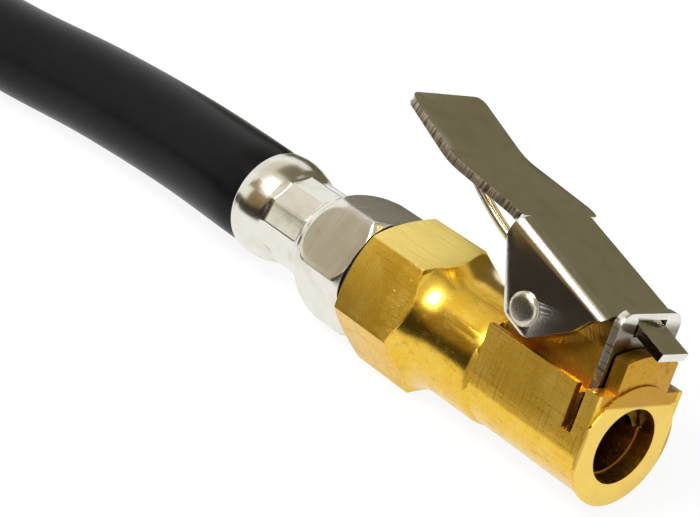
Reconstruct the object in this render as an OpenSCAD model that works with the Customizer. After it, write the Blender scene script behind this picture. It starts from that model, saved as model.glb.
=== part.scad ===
// Clip-on tyre chuck on a crimped rubber hose. All sizes are in millimetres.
// The origin is the centre of the chuck's mouth. +X points out of the mouth along the bore,
// and +Z points up from the surface that the hexagon lies on.

/* [Chuck body] */
// Distance across the flats of the hexagon
hex_af = 16; // [15.5:0.5:19]
// Length of the body, from the mouth's face to its rear face
body_len = 38; // [37:0.5:44]
// Length of the hexagon, measured at its corners
hex_len = 9.6; // [9.2:0.2:10.6]
// Length of the chamfer on the hexagon's rear corners
hex_chamfer = 0.7; // [0.3:0.1:1.2]
// Radius of the neck behind the milled front
neck_r = 7.15; // [6.9:0.05:7.5]
// Length of the flare between the hexagon's corners and the neck
flare_len = 4.4; // [3:0.2:5]
// Length of the milled front, from the mouth's face
front_len = 16.9; // [16.7:0.1:17.6]
// Half width of the milled front, which is also the radius of its round underside
front_r = 6.8; // [6.6:0.05:6.85]
// Height of the flanks' tops over the bore's axis
flank_top = 6; // [5.7:0.1:6.2]
// Turn of the milled front, lever and clamp about the bore's axis against the hexagon
front_roll = 14.5; // [0:0.5:30]

/* [Mouth and bore] */
// Outer radius of the round lip at the mouth
lip_r = 7.1; // [6.9:0.05:7.3]
// How far the lip stands in front of the milled front
lip_proud = 0.3; // [0.2:0.05:0.6]
// Distance from the mouth's face to the clamp slot
mouth_len = 2.1; // [1.8:0.1:2.4]
// Radius of the bore in front of the clamp slot
mouth_r = 4.45; // [4.4:0.05:4.6]
// Radius of the socket behind the clamp slot
socket_r = 4.25; // [4.2:0.05:4.35]
// Depth of the socket, from the mouth's face to the seal
socket_len = 11.5; // [11:0.1:12]
// Radius of the chamber that holds the seal, the depressor and the retainer
chamber_r = 4.9; // [4.8:0.05:5.1]
// Radial clearance of the screwed bore round the hose tail's spigot
port_gap = 0.05; // [0.03:0.01:0.1]
// Depth of the screwed bore
port_len = 8.5; // [8.3:0.1:9.5]

/* [Rib, lug and slots] */
// Half width of the rib along the top of the front
rib_w = 4.1; // [3.9:0.05:4.2]
// Radius of the rib's crowned top, about the bore's axis
rib_r = 10.4; // [10:0.05:10.5]
// Radius of the lug round the rivet
lug_r = 2.9; // [2.6:0.1:3.1]
// Width of the milled channel on each side of the rib
channel_w = 1.85; // [1.6:0.05:1.9]
// Height of the channels' floor over the bore's axis
channel_floor = 4.8; // [4.7:0.1:5.2]
// Height of the clamp slot's floor over the bore's axis
slot_floor = 0.9; // [0.2:0.1:1]
// Height of the spring slot's floor over the bore's axis
spring_floor = 6.1; // [5.9:0.05:6.15]
// Length of the spring slot in front of the rivet's axis
spring_slot_fwd = 3.3; // [3.1:0.1:3.6]

/* [Lever] */
// Thickness of the lever's sheet
sheet_t = 1.05; // [0.9:0.05:1.1]
// Half width of the lever at its ears
lever_w = 6.2; // [5.9:0.05:6.3]
// Half width of the thumb end
tail_w = 5.75; // [5.5:0.05:5.9]
// Distance from the mouth's face to the rivet's axis
rivet_back = 13.7; // [13.5:0.1:13.8]
// Height of the rivet's axis over the bore's axis
rivet_up = 9.2; // [9.15:0.05:9.4]
// Slope of the lever's front part
lever_slope = 17.3; // [16.8:0.1:17.8]
// Height of the lever's top face over the rivet, square to the sheet
lever_rise = 7; // [6.85:0.05:7.1]
// Distance from the rivet back to the first bend, along the sheet
bend_back = 8.1; // [8:0.1:8.4]
// Length of the middle part of the tail
mid_len = 11.2; // [10.6:0.2:11.8]
// Angle at the first bend
mid_bend = 10.8; // [10:0.2:11.2]
// Length of the thumb end of the tail
thumb_len = 9.85; // [8:0.2:12]
// Angle at the second bend
thumb_bend = 15.8; // [14.4:0.2:16.4]
// Radius of the first bend, on top
mid_bend_r = 8; // [5:0.5:9]
// Radius of the second bend, on top
thumb_bend_r = 12; // [6:1:16]
// Outer radius of the bends between the top and the cheeks
cheek_bend_r = 1.6; // [1.3:0.1:2]
// Radius of the corners at the thumb end
thumb_corner_r = 1.2; // [0.5:0.1:2.5]
// How far the ears reach under the rivet's axis, square to the sheet
ear_drop = 2.28; // [2.2:0.02:2.5]
// Distance from the rivet forward to the shoulders beside the nose
shoulder_fwd = 8.4; // [8:0.1:8.5]
// Distance from the rivet forward to the nose's tip
nose_fwd = 14; // [13.4:0.1:15]
// Half width of the nose
nose_w = 2.1; // [1.8:0.05:2.15]
// Depth of the cheeks in front of the ears
skirt_h = 1.7; // [1.5:0.1:2]

/* [Rivet] */
// Radius of the rivet's shank
shank_r = 1.4; // [1.3:0.05:1.45]
// Radius of the factory head
head_r = 1.9; // [1.8:0.1:2.2]
// Thickness of the factory head
head_t = 0.65; // [0.5:0.05:0.9]
// Radius of the formed head
formed_r = 1.9; // [1.7:0.1:2.2]
// Thickness of the formed head
formed_t = 0.7; // [0.5:0.05:1]

/* [Clamp plate] */
// Thickness of the clamp plate
plate_t = 1; // [0.8:0.05:1.1]
// Half width of the clamp plate
plate_w = 4.9; // [4.8:0.05:5.2]
// Height of the clamp plate's top over the bore's axis
plate_top = 14.3; // [14.1:0.1:15]
// Radius of the plate's top corners
plate_corner_r = 1.6; // [1:0.1:2]
// Half width of the window that the lever's nose goes through
window_w = 2.35; // [2.3:0.05:2.7]
// Radius of the jaw's arch
jaw_r = 3.9; // [3.7:0.05:4.1]
// Depth of the arch's centre under the bore's axis
jaw_drop = 1; // [0.8:0.05:1.2]

/* [Spring] */
// Diameter of the spring's wire
wire_d = 1.2; // [1:0.05:1.2]
// Gap between neighbouring turns
turn_gap = 0.42; // [0.41:0.01:0.5]

/* [Seal and depressor] */
// Thickness of the rubber seal
seal_t = 4; // [3.5:0.1:4.5]
// Radius of the hole through the seal
seal_hole_r = 2.2; // [1.8:0.1:2.5]
// Thickness of the depressor's disc
disc_t = 3; // [2.5:0.1:3.5]
// Radius of the depressor's pin
pin_r = 1; // [0.8:0.05:1.2]
// Length of the depressor's pin in front of its disc
pin_len = 3.2; // [2.8:0.1:3.8]
// Radius of each air hole through the disc
air_hole_r = 0.8; // [0.5:0.05:0.9]
// Thickness of the screwed retainer
retainer_t = 3; // [2.5:0.1:3.5]
// Radius of the hole through the retainer
retainer_hole_r = 2.5; // [2:0.1:2.8]
// Width of the screwdriver slot across the retainer
driver_slot_w = 1.2; // [0.8:0.1:1.6]

/* [Hose fittings] */
// Thickness of the sealing ring
ring_t = 1; // [0.8:0.1:1.4]
// How far the sealing ring reaches past the spigot's thread
ring_reach = 0.95; // [0.75:0.05:1.05]
// Distance across the flats of the nut
nut_af = 14.5; // [14.3:0.1:15]
// Length of the nut, with its rounded back
nut_len = 9; // [8.4:0.2:10]
// Length of the nut's rounded back
nut_dome_len = 4; // [3:0.2:4.6]
// Turn of the near nut about its axis
nut_turn = 17.3; // [17:0.1:17.6]
// Radius of the screwed spigot, over its thread
spigot_r = 6.55; // [6.45:0.05:6.55]
// Length of the screwed spigot
spigot_len = 8; // [7:0.1:8.1]
// Radius of the air way through the hose tail
tail_bore_r = 2; // [1.6:0.1:2.2]
// Radius of the stem inside the hose
stem_r = 2.9; // [2.7:0.05:2.95]
// Radius of the barbs under the crimp
barb_r = 3.4; // [3.2:0.02:3.4]
// Length of the ferrule
ferrule_len = 13.4; // [13.2:0.1:14.4]
// Outer radius of the ferrule's bulge
bulge_r = 6.8; // [6.7:0.05:6.9]
// Outer radius of the ferrule on the ridges between the crimped flats
crimp_r = 5.9; // [5.8:0.05:6]
// Distance from the axis to the crimped flats
crimp_flat = 5.66; // [5.6:0.02:5.7]
// Number of crimped flats
crimp_count = 8; // [6:1:8]

/* [Hose] */
// Outer diameter of the hose
hose_d = 13; // [12.6:0.1:13]
// Bore of the hose
hose_bore = 6.3; // [6.3:0.1:6.6]
// Wall of the inner tube
liner_wall = 1.35; // [1.2:0.05:1.4]
// Thickness of the textile braid
braid_wall = 0.55; // [0.4:0.05:0.6]

/* [Hidden] */
$fn = 96;

// Clearances
slip = 0.05;              // radial, between round pieces that turn, slide or screw together
plate_gap = 0.2;          // on each face of the clamp plate
window_gap = 0.25;        // over and under the nose in the plate's window
rest_gap = 0.02;          // under a piece that rests on its seat
eps = 0.5;                // how far a cutter runs past the face that it opens

// Stations along the bore
front_face = -lip_proud;
slot_front = -mouth_len;
plate_front = slot_front - plate_gap;
plate_back = plate_front - plate_t;
slot_back = plate_back - plate_gap;
rivet_x = -rivet_back;
front_back = -front_len;
neck_step = 0.7;          // length of the rounded step from the neck to the milled front
hex_r = hex_af / 2 / cos(30);
hex_front = hex_len - body_len;
flare_front = hex_front + flare_len;
seal_back = -socket_len - seal_t;
disc_back = seal_back - disc_t;
retainer_back = disc_back - retainer_t;
port_front = port_len - body_len;
port_r = spigot_r + port_gap;

// The nose's top face at a distance x along the bore, and the plate's window round the nose
function nose_top(x) = rivet_up + lever_rise / cos(lever_slope) - (x - rivet_x) * tan(lever_slope);
window_top = nose_top(plate_back) + window_gap;
window_bottom = nose_top(plate_front) - sheet_t / cos(lever_slope) - window_gap;

// Ends of the lever's straight parts, from the rivet's axis, along and square to its front part
thumb_slope = mid_bend - thumb_bend;
first_bend = [-bend_back, lever_rise];
second_bend = first_bend - mid_len * [cos(mid_bend), sin(mid_bend)];
thumb_end = second_bend - thumb_len * [cos(thumb_slope), sin(thumb_slope)];
ears_back = -7.2;         // place of the cheeks' rear ends
ears_lap = 0.3;           // how far the tail's side corners reach past them

// Spring: the lower leg lies on the slot's floor, the upper one presses under the tail
coil_r = shank_r + 0.12 + wire_d / 2;
turn_pitch = wire_d + turn_gap;
coil_from = 270;          // angle round the rivet where the lower leg meets the coil
coil_to = 1160;           // and where the upper leg leaves it
coil_step = 44.5;         // angle between rings, about eight to a turn
coil_w = turn_pitch * (coil_to - coil_from) / 360;
spring_slot_w = (coil_w + wire_d) / 2 + 0.12;
leg_reach = 2.9;          // length of the lower leg
leg_side = -1.65;         // sideways place of the upper leg's free part
leg_shift = 0.15;         // how much farther out its first bend lies
leg_start = -5;           // places of the upper leg's bends and tip along the lever
leg_turn = -10.2;
leg_lift = -19.1;
leg_tip = -21.8;
leg_low = 1.5;            // its heights at the first bends and near the tip, square to the lever
leg_high = 3.1;
wire_sides = 6;

// Stations along a hose fitting, from the shoulder that its sealing ring lies against
nut_front = -ring_t;
nut_back = nut_front - nut_len;
nut_r = nut_af / 2 / cos(30);
ring_r = spigot_r + ring_reach;
nut_face_r = ring_r + 0.1;
nut_chamfer = 0.9;
dome_back_r = 6.4;
collar_r = 4.6;
relief_r = spigot_r - 0.45;  // thread relief between the nut and the spigot's thread
relief_len = 0.8;
spigot_chamfer = 0.8;
hose_start = nut_back - 1.4;
crimp_back = nut_back - 8;
bulge_front = nut_back - 10;
ferrule_back = nut_back - ferrule_len;
stem_back = ferrule_back + 1.4;
barb_pitch = 3.1;
ferrule_wall = 0.96;
bulge_wall = 0.75;
lip_wall = 0.6;
crimp_in = crimp_flat - ferrule_wall;
bulge_in = bulge_r - bulge_wall;
die_angle = 35;           // direction of the first crimped flat, from the top
far_roll = 30;            // the far nut lies on one of its flats

// Hose: radii of its three layers where it is free and where it is crimped, inside to outside
sides = 12;
hose_r = hose_d / 2;
liner_out = hose_bore / 2 + liner_wall;
braid_out = liner_out + slip + braid_wall;
free_radii = [hose_bore / 2, liner_out, liner_out + slip, braid_out, braid_out + slip, hose_r];
tight_in = barb_r / cos(180 / sides) + 0.03;
tight_out = crimp_in - 0.08;
function tight(share) = tight_in + (tight_out - tight_in) * share;
crimped_radii = [tight(0), tight(0.35), tight(0.39), tight(0.62), tight(0.66), tight(1)];
bulge_squeeze = (hose_r - bulge_in + 0.06) / (hose_r - tight_out);

// Hose: route of its centre line, past the ferrules' ends
floor_z = -hex_af / 2;
free_route = [
    [-80, 0.5, -0.5], [-100, -0.5, -1], [-120, -3, -1.5], [-140, -4.5, -1.5],
    [-160, -6, -1.5], [-187, -16, -1.5], [-208, -36, -1.5], [-219, -63, -1.5],
    [-218, -92, -1.5], [-205, -118, -1.5], [-183, -137, -1.5], [-155, -145, -1.5],
    [-125, -145, -1.5], [-95, -145, -1.5], [-65, -145, -1]];
near_place = [-body_len, 0, 0];
far_place = [-10, -145, floor_z + nut_af / 2];
fitting_stations = [hose_start, crimp_back, bulge_front - 0.4, ferrule_back, ferrule_back - 0.8];
fitting_squeeze = [1, 1, bulge_squeeze, bulge_squeeze, 0];
hose_route = concat(
    [for (x = fitting_stations) near_place + [x, 0, 0]],
    free_route,
    [for (i = [len(fitting_stations) - 1:-1:0]) far_place + [fitting_stations[i], 0, 0]]);
hose_squeeze = concat(
    fitting_squeeze,
    [for (p = free_route) 0],
    [for (i = [len(fitting_squeeze) - 1:-1:0]) fitting_squeeze[i]]);

// Colours
brass = "#c89a3c";
nickel = "#c3bfb4";
steel = "#a9a59b";
black_rubber = "#1d1d1f";
seal_rubber = "#2b2622";
cotton = "#b9b2a0";

function unit(v) = v / norm(v);

// Points of a circular arc that rounds the corner p between the points a and b
function arc_corner(a, p, b, r, steps = 6) =
    r == 0 ? [p] :
    let (u = unit(a - p), v = unit(b - p), half = acos(u * v) / 2)
    let (centre = p + unit(u + v) * r / sin(half), start = p + u * r / tan(half) - centre)
    let (end = p + v * r / tan(half) - centre, from = atan2(start.y, start.x))
    let (turn = (atan2(end.y, end.x) - from + 540) % 360 - 180)
    [for (i = [0:steps]) centre + r * [cos(from + turn * i / steps), sin(from + turn * i / steps)]];

// Outline through corners given as [x, y, radius]
function rounded(c) =
    [for (i = [0:len(c) - 1])
        let (a = c[(i + len(c) - 1) % len(c)], b = c[(i + 1) % len(c)])
        each arc_corner([a.x, a.y], [c[i].x, c[i].y], [b.x, b.y], c[i].z)];

// Point under a bend of the sheet, whose parts slope at a and b
function under(p, a, b) =
    p - sheet_t / cos((a - b) / 2) * [-sin((a + b) / 2), cos((a + b) / 2)];

// Direction of a path at one of its points
function heading(path, i) = unit(path[min(i + 1, len(path) - 1)] - path[max(i - 1, 0)]);

// Ring of points round a path's point, square to its direction
function ring(centre, along, side, r, n) =
    let (u = unit(cross(side, along)), v = cross(along, u))
    [for (k = [0:n - 1]) centre + r * (cos(360 * k / n) * u + sin(360 * k / n) * v)];

function wall_faces(rings, n, from, inwards) =
    [for (i = [0:rings - 2], k = [0:n - 1])
        let (a = from + i * n + k, b = from + i * n + (k + 1) % n)
        each inwards ? [[a, b, a + n], [b, b + n, a + n]] : [[a, a + n, b], [b, a + n, b + n]]];

// Solid wire along a path
module wire(path, r, n, side) {
    count = len(path);
    points = [for (i = [0:count - 1]) each ring(path[i], heading(path, i), side, r, n)];
    last = (count - 1) * n;
    caps = [for (k = [1:n - 2]) each [[0, k, k + 1], [last, last + k + 1, last + k]]];
    polyhedron(points, concat(wall_faces(count, n, 0, false), caps), convexity = 6);
}

// Hollow tube along a path, with an outer and an inner radius at each of its points
module pipe(path, outer, inner, n, side) {
    count = len(path);
    points = concat(
        [for (i = [0:count - 1]) each ring(path[i], heading(path, i), side, outer[i], n)],
        [for (i = [0:count - 1]) each ring(path[i], heading(path, i), side, inner[i], n)]);
    core = count * n;
    last = (count - 1) * n;
    ends = [for (k = [0:n - 1])
        let (m = (k + 1) % n)
        each [[k, m, core + m], [k, core + m, core + k],
            [last + m, last + k, core + last + k], [last + m, core + last + k, core + last + m]]];
    polyhedron(points, concat(wall_faces(count, n, 0, false), wall_faces(count, n, core, true), ends),
        convexity = 8);
}

// A shape drawn across the bore, run along it from x0 to x1
module along_x(x0, x1) translate([x0, 0, 0]) rotate([90, 0, 90]) linear_extrude(x1 - x0) children();
// A shape drawn from the side, as wide as half to each side
module across(half) rotate([90, 0, 0]) linear_extrude(2 * half, center = true) children();
// A solid turned about the bore, from points given as [x, radius]
module turned(profile) rotate([0, 90, 0]) rotate_extrude() polygon([for (p = profile) [p.y, p.x]]);
module rod(x0, x1, r) translate([x0, 0, 0]) rotate([0, 90, 0]) cylinder(r = r, h = x1 - x0);
module hexagon(x0, x1, r, turn) translate([x0, 0, 0]) rotate([0, 90, 0]) rotate(turn)
    cylinder(r = r, h = x1 - x0, $fn = 6);
// The frame of the milled front, lever and clamp
module front() rotate([-front_roll, 0, 0]) children();
// The lever's frame: its origin on the rivet's axis, x along its front part, z square to the sheet
module lever_frame() front() translate([rivet_x, 0, rivet_up]) rotate([0, lever_slope, 0]) children();

// Quarter of an ellipse from [x0, r0] to [x1, r1], level at the end where r is smaller
function flare_curve(x0, r0, x1, r1, steps) =
    [for (i = [0:steps]) let (t = 90 * i / steps) [x1 - (x1 - x0) * cos(t), r0 - (r0 - r1) * sin(t)]];

module turned_back() intersection() {
    hexagon(-body_len, front_back + 2, hex_r, 30);
    turned(concat(
        [[-body_len, 0], [-body_len, hex_af / 2 + 0.05], [hex_chamfer - body_len, hex_r]],
        flare_curve(hex_front, hex_r, flare_front, neck_r + 0.05, 10),
        [[front_back - neck_step, neck_r], [front_back - neck_step / 3, neck_r - 0.12],
            [front_back, front_r], [front_back + 1.5, front_r - 0.15], [front_back + 1.5, 0]]));
}

module milled_front() {
    along_x(front_back, front_face) {
        circle(front_r);
        translate([-front_r, 0]) square([2 * front_r, flank_top]);
    }
    across(rib_w) {
        translate([rivet_x - lug_r, 0]) square([lug_r, rivet_up]);
        translate([rivet_x, rivet_up]) circle(lug_r);
    }
    intersection() {
        across(rib_w) translate([rivet_x - 0.1, 0]) square([front_face - rivet_x + 0.1, rib_r + 1]);
        rod(rivet_x - 1, front_face, rib_r);
    }
}

module channels() for (side = [-1, 1])
    translate([front_back - eps, side > 0 ? rib_w : -rib_w - channel_w, channel_floor])
        cube([slot_back - front_back + eps, channel_w, rib_r]);

module clamp_slot()
    translate([slot_back, -lip_r - eps, slot_floor])
        cube([slot_front - slot_back, 2 * (lip_r + eps), plate_top]);

module spring_slot()
    translate([front_back - 0.1, -spring_slot_w, spring_floor])
        cube([rivet_x + spring_slot_fwd - front_back + 0.1, 2 * spring_slot_w, plate_top]);

module chuck_body() color(brass) difference() {
    union() {
        turned_back();
        front() milled_front();
        rod(front_face - 0.1, 0, lip_r);
    }
    rod(slot_front - 0.1, eps, mouth_r);
    rod(-socket_len - 0.1, slot_front, socket_r);
    rod(port_front - 0.1, -socket_len, chamber_r);
    rod(-body_len - eps, port_front, port_r);
    front() {
        channels();
        clamp_slot();
        spring_slot();
        translate([rivet_x, 0, rivet_up]) rotate([90, 0, 0])
            cylinder(r = shank_r + slip, h = 2 * (rib_w + eps), center = true);
    }
}

// Side view of the lever's sheet, from the thumb end to the nose's tip
module sheet_side() polygon(rounded([
    [each thumb_end, 0], [each second_bend, thumb_bend_r], [each first_bend, mid_bend_r],
    [nose_fwd, lever_rise, 0], [nose_fwd, lever_rise - sheet_t, 0],
    [each under(first_bend, mid_bend, 0), mid_bend_r - sheet_t],
    [each under(second_bend, thumb_slope, mid_bend), thumb_bend_r + sheet_t],
    [each under(thumb_end, thumb_slope, thumb_slope), 0]]));

// Top view of the sheet: the tail, whose corners lap the cheeks, the strip between them, and the nose
module sheet_plan() {
    polygon(rounded([
        [thumb_end.x, -tail_w, thumb_corner_r], [thumb_end.x, tail_w, thumb_corner_r],
        [ears_back + ears_lap, lever_w, 2 * ears_lap], [ears_back + ears_lap, -lever_w, 2 * ears_lap]]));
    translate([ears_back - 0.1, cheek_bend_r - lever_w])
        square([shoulder_fwd - ears_back - 0.2, 2 * (lever_w - cheek_bend_r)]);
    translate([0, -nose_w]) square([nose_fwd, 2 * nose_w]);
}

// Cross-section of a box with a rounded top, open far below
module arch_section(half, top, r) polygon(rounded([
    [-half, -2 * ear_drop, 0], [-half, top, r], [half, top, r], [half, -2 * ear_drop, 0]]));

// Side view of the bent part: the ears round the rivet, and the skirts in front of them
module ear_side() polygon(rounded([
    [ears_back, lever_rise + 1, 0], [ears_back, 4.2, 0.4],
    [-1.8, -ear_drop, 1.6], [2.1, -ear_drop, 1.6],
    [6.3, 2.9, 2], [7.35, lever_rise - skirt_h, 0.6],
    [shoulder_fwd, lever_rise - 0.6, 0], [shoulder_fwd, lever_rise + 1, 0]]));

module lever() color(nickel) lever_frame() difference() {
    union() {
        intersection() {
            across(lever_w + 1) sheet_side();
            linear_extrude(2 * lever_rise) sheet_plan();
        }
        intersection() {
            along_x(ears_back, shoulder_fwd) difference() {
                arch_section(lever_w, lever_rise, cheek_bend_r);
                translate([0, -0.01])
                    arch_section(lever_w - sheet_t, lever_rise - sheet_t + 0.01, cheek_bend_r - sheet_t);
            }
            across(lever_w + 1) ear_side();
        }
    }
    rotate([90, 0, 0]) cylinder(r = shank_r + rest_gap, h = 2 * (lever_w + eps), center = true);
}

// Rivet head with a rounded rim, on the cheek's outer face
module rivet_head(r, t) rotate_extrude() polygon(rounded([[0, 0, 0], [r, 0, 0], [r, t, t / 2], [0, t, 0]]));

module pivot_rivet() color(steel) front() translate([rivet_x, 0, rivet_up]) {
    rotate([90, 0, 0]) cylinder(r = shank_r, h = 2 * lever_w, center = true);
    translate([0, -lever_w, 0]) rotate([90, 0, 0]) rivet_head(head_r, head_t);
    translate([0, lever_w, 0]) rotate([-90, 0, 0]) rivet_head(formed_r, formed_t);
}

module clamp_plate() color(nickel) front() along_x(plate_back, plate_front) difference() {
    polygon(rounded([
        [-plate_w, slot_floor + rest_gap, 0], [-plate_w, plate_top, plate_corner_r],
        [plate_w, plate_top, plate_corner_r], [plate_w, slot_floor + rest_gap, 0]]));
    translate([-window_w, window_bottom]) square([2 * window_w, window_top - window_bottom]);
    translate([0, -jaw_drop]) circle(jaw_r);
}

// A point of the lever's frame, in the frame of the milled front
function from_lever(x, y, z) = [
    rivet_x + x * cos(lever_slope) + z * sin(lever_slope), y,
    rivet_up - x * sin(lever_slope) + z * cos(lever_slope)];
leg_tip_z = second_bend.y + (second_bend.x - leg_tip) * tan(-thumb_slope)
    - (sheet_t + wire_d / 2 + slip) / cos(thumb_slope);
spring_path = concat(
    [[rivet_x - leg_reach, coil_w / 2, spring_floor + wire_d / 2 + slip]],
    [for (a = [coil_from:coil_step:coil_to]) [
        rivet_x + coil_r * cos(a),
        coil_w * (0.5 - (a - coil_from) / (coil_to - coil_from)),
        rivet_up + coil_r * sin(a)]],
    [from_lever(leg_start, leg_side - leg_shift, leg_low)],
    [for (i = [0:3]) let (t = i / 3)
        from_lever(leg_turn + (leg_lift - leg_turn) * t, leg_side,
            leg_low + (leg_high - leg_low) * pow(t, 1.5))],
    [from_lever(leg_tip, leg_side, leg_tip_z)]);
turn_gaps = [for (i = [0:len(spring_path) - 1], j = [i + 6:1:len(spring_path) - 1])
    norm(spring_path[i] - spring_path[j]) - wire_d];
echo("least gap between the spring's turns", min(turn_gaps));

module lever_spring() color(steel) front() wire(spring_path, wire_d / 2, wire_sides, [0, 1, 0]);

module valve_seal() color(seal_rubber) difference() {
    rod(seal_back, -socket_len, chamber_r - slip);
    rod(seal_back - eps, eps - socket_len, seal_hole_r);
}

module depressor() color(brass) {
    difference() {
        rod(disc_back, seal_back, chamber_r - slip);
        for (a = [45:90:315]) rotate([a, 0, 0]) translate([0, 0, seal_hole_r - air_hole_r + 0.6])
            rod(disc_back - eps, seal_back + eps, air_hole_r);
    }
    rod(seal_back - 0.1, seal_back + pin_len, pin_r);
}

module seal_retainer() color(brass) difference() {
    rod(retainer_back, disc_back, chamber_r - slip);
    rod(retainer_back - eps, disc_back + eps, retainer_hole_r);
    translate([retainer_back - eps, -driver_slot_w / 2, -chamber_r])
        cube([1 + eps, driver_slot_w, 2 * chamber_r]);
}

module fitting_ring() difference() {
    rod(-ring_t, 0, ring_r);
    rod(-ring_t - eps, eps, spigot_r + slip);
}

module fitting_tail(turn) difference() {
    union() {
        intersection() {
            hexagon(nut_back, nut_front, nut_r, turn);
            turned(concat(
                [[nut_back, 0]],
                [for (i = [0:8]) let (t = 90 * i / 8)
                    [nut_back + nut_dome_len * (1 - cos(t)), dome_back_r + (nut_r - dome_back_r) * sin(t)]],
                [[nut_front - nut_chamfer, nut_r], [nut_front, nut_face_r], [nut_front, 0]]));
        }
        turned([[nut_front - 0.1, 0], [nut_front - 0.1, relief_r], [relief_len, relief_r],
            [relief_len, spigot_r], [spigot_len - spigot_chamfer, spigot_r],
            [spigot_len, spigot_r - spigot_chamfer], [spigot_len, 0]]);
        rod(hose_start, nut_back + 0.1, collar_r);
        rod(stem_back, hose_start + 0.1, stem_r);
        for (x = [hose_start - 0.6, hose_start - 0.6 - barb_pitch])
            turned([[x - barb_pitch, 0], [x - barb_pitch, stem_r], [x - 0.4, barb_r], [x, barb_r], [x, 0]]);
    }
    rod(stem_back - eps, spigot_len + eps, tail_bore_r);
}

module fitting_ferrule() difference() {
    turned(concat(
        [[nut_back, crimp_in], [nut_back, dome_back_r], [nut_back - 0.5, 6.5], [nut_back - 1.9, 6.15],
            [nut_back - 3, crimp_r]],
        [for (u = [-1:0.2:-0.2]) [bulge_front - 2 - 4 * u, bulge_r - (bulge_r - crimp_r) * u * u]],
        [for (u = [0:0.2:1])
            let (rear = bulge_front - 2 - ferrule_back, edge = bulge_in + lip_wall)
            [bulge_front - 2 - rear * u, bulge_r - (bulge_r - edge) * u * u]],
        [[ferrule_back, bulge_in], [bulge_front, bulge_in], [crimp_back, crimp_in]]));
    for (k = [0:crimp_count - 1]) rotate([die_angle + 360 * k / crimp_count, 0, 0])
        translate([crimp_back + 0.2, -3, crimp_flat]) cube([5.6, 6, 3]);
}

module sealing_ring() color(black_rubber) translate(near_place) fitting_ring();
module hose_tail() color(nickel) translate(near_place) fitting_tail(nut_turn);
module crimp_ferrule() color(nickel) translate(near_place) fitting_ferrule();
module far_sealing_ring() color(black_rubber) translate(far_place) fitting_ring();
module far_tail() color(nickel) translate(far_place) fitting_tail(far_roll);
module far_ferrule() color(nickel) translate(far_place) fitting_ferrule();

// One layer of the hose, numbered from the inside
module hose_layer(i) {
    inner = [for (s = hose_squeeze) free_radii[2 * i] * (1 - s) + crimped_radii[2 * i] * s];
    outer = [for (s = hose_squeeze) free_radii[2 * i + 1] * (1 - s) + crimped_radii[2 * i + 1] * s];
    pipe(hose_route, outer, inner, sides, [0, 0, 1]);
}
module hose_liner() color(black_rubber) hose_layer(0);
module hose_braid() color(cotton) hose_layer(1);
module hose_cover() color(black_rubber) hose_layer(2);

chuck_body();
lever();
pivot_rivet();
clamp_plate();
lever_spring();
valve_seal();
depressor();
seal_retainer();
sealing_ring();
hose_tail();
crimp_ferrule();
hose_liner();
hose_braid();
hose_cover();
far_ferrule();
far_tail();
far_sealing_ring();
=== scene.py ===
import math
import bmesh
import bpy
import numpy as np
from mathutils import Matrix


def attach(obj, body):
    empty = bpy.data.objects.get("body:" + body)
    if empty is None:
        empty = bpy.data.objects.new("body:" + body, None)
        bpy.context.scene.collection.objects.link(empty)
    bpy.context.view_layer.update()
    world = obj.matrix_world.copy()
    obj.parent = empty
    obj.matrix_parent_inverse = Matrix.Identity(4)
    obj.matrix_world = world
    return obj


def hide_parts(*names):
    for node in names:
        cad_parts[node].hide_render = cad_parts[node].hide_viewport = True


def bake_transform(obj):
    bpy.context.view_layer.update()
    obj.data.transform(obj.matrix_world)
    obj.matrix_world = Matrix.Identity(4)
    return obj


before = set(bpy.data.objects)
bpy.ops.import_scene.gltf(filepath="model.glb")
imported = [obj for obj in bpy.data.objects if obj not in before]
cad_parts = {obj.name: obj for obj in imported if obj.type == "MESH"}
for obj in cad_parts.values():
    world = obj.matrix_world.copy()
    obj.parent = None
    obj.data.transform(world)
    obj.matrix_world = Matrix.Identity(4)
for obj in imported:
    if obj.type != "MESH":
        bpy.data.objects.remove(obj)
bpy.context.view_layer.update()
mm = 0.001
print("frame loaded")

# where the camera stands: it turns about the object, rises, then rolls about its own view
camera = {"azimuth": 48.492, "elevation": 28.23, "roll": 6.917, "place": (0.10851, -0.13679, 0.1104),
          "focalPixels": 1966.94, "frameWidth": 700, "sensorWidth": 36, "clipStart": 0.01}


def makeCamera():
    turn, rise, roll = (math.radians(camera[k]) for k in ("azimuth", "elevation", "roll"))
    back = np.array([math.sin(turn) * math.cos(rise), -math.cos(turn) * math.cos(rise), math.sin(rise)])
    level = np.array([math.cos(turn), math.sin(turn), 0.0])
    up = np.cross(back, level)
    right = math.cos(roll) * level + math.sin(roll) * up
    top = math.cos(roll) * up - math.sin(roll) * level
    data = bpy.data.cameras.new("camera")
    data.sensor_width = camera["sensorWidth"]
    data.lens = camera["focalPixels"] * data.sensor_width / camera["frameWidth"]
    data.clip_start = camera["clipStart"]
    eye = bpy.data.objects.new("camera", data)
    bpy.context.scene.collection.objects.link(eye)
    axes = np.eye(4)
    axes[:3, 0], axes[:3, 1], axes[:3, 2], axes[:3, 3] = right, top, back, camera["place"]
    eye.matrix_world = Matrix(axes.tolist())
    bpy.context.scene.camera = eye


makeCamera()
print("camera placed")

# frames of the part's own pieces, in millimetres: where each starts and how it is turned
front = {"roll": 14.5, "rivet": (-13.7, 0, 9.2), "leverSlope": 17.3}
frontTurn = Matrix.Rotation(math.radians(-front["roll"]), 4, "X")
leverTurn = frontTurn @ Matrix.Rotation(math.radians(front["leverSlope"]), 4, "Y")
leverPlace = Matrix.Translation(frontTurn @ Matrix.Translation(front["rivet"]).translation) @ leverTurn
fittingPlace = {"near": (-38, 0, 0), "far": (-10, -145, -0.75)}
nearPlace = Matrix.Translation(fittingPlace["near"])
farPlace = Matrix.Translation(fittingPlace["far"])


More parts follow.
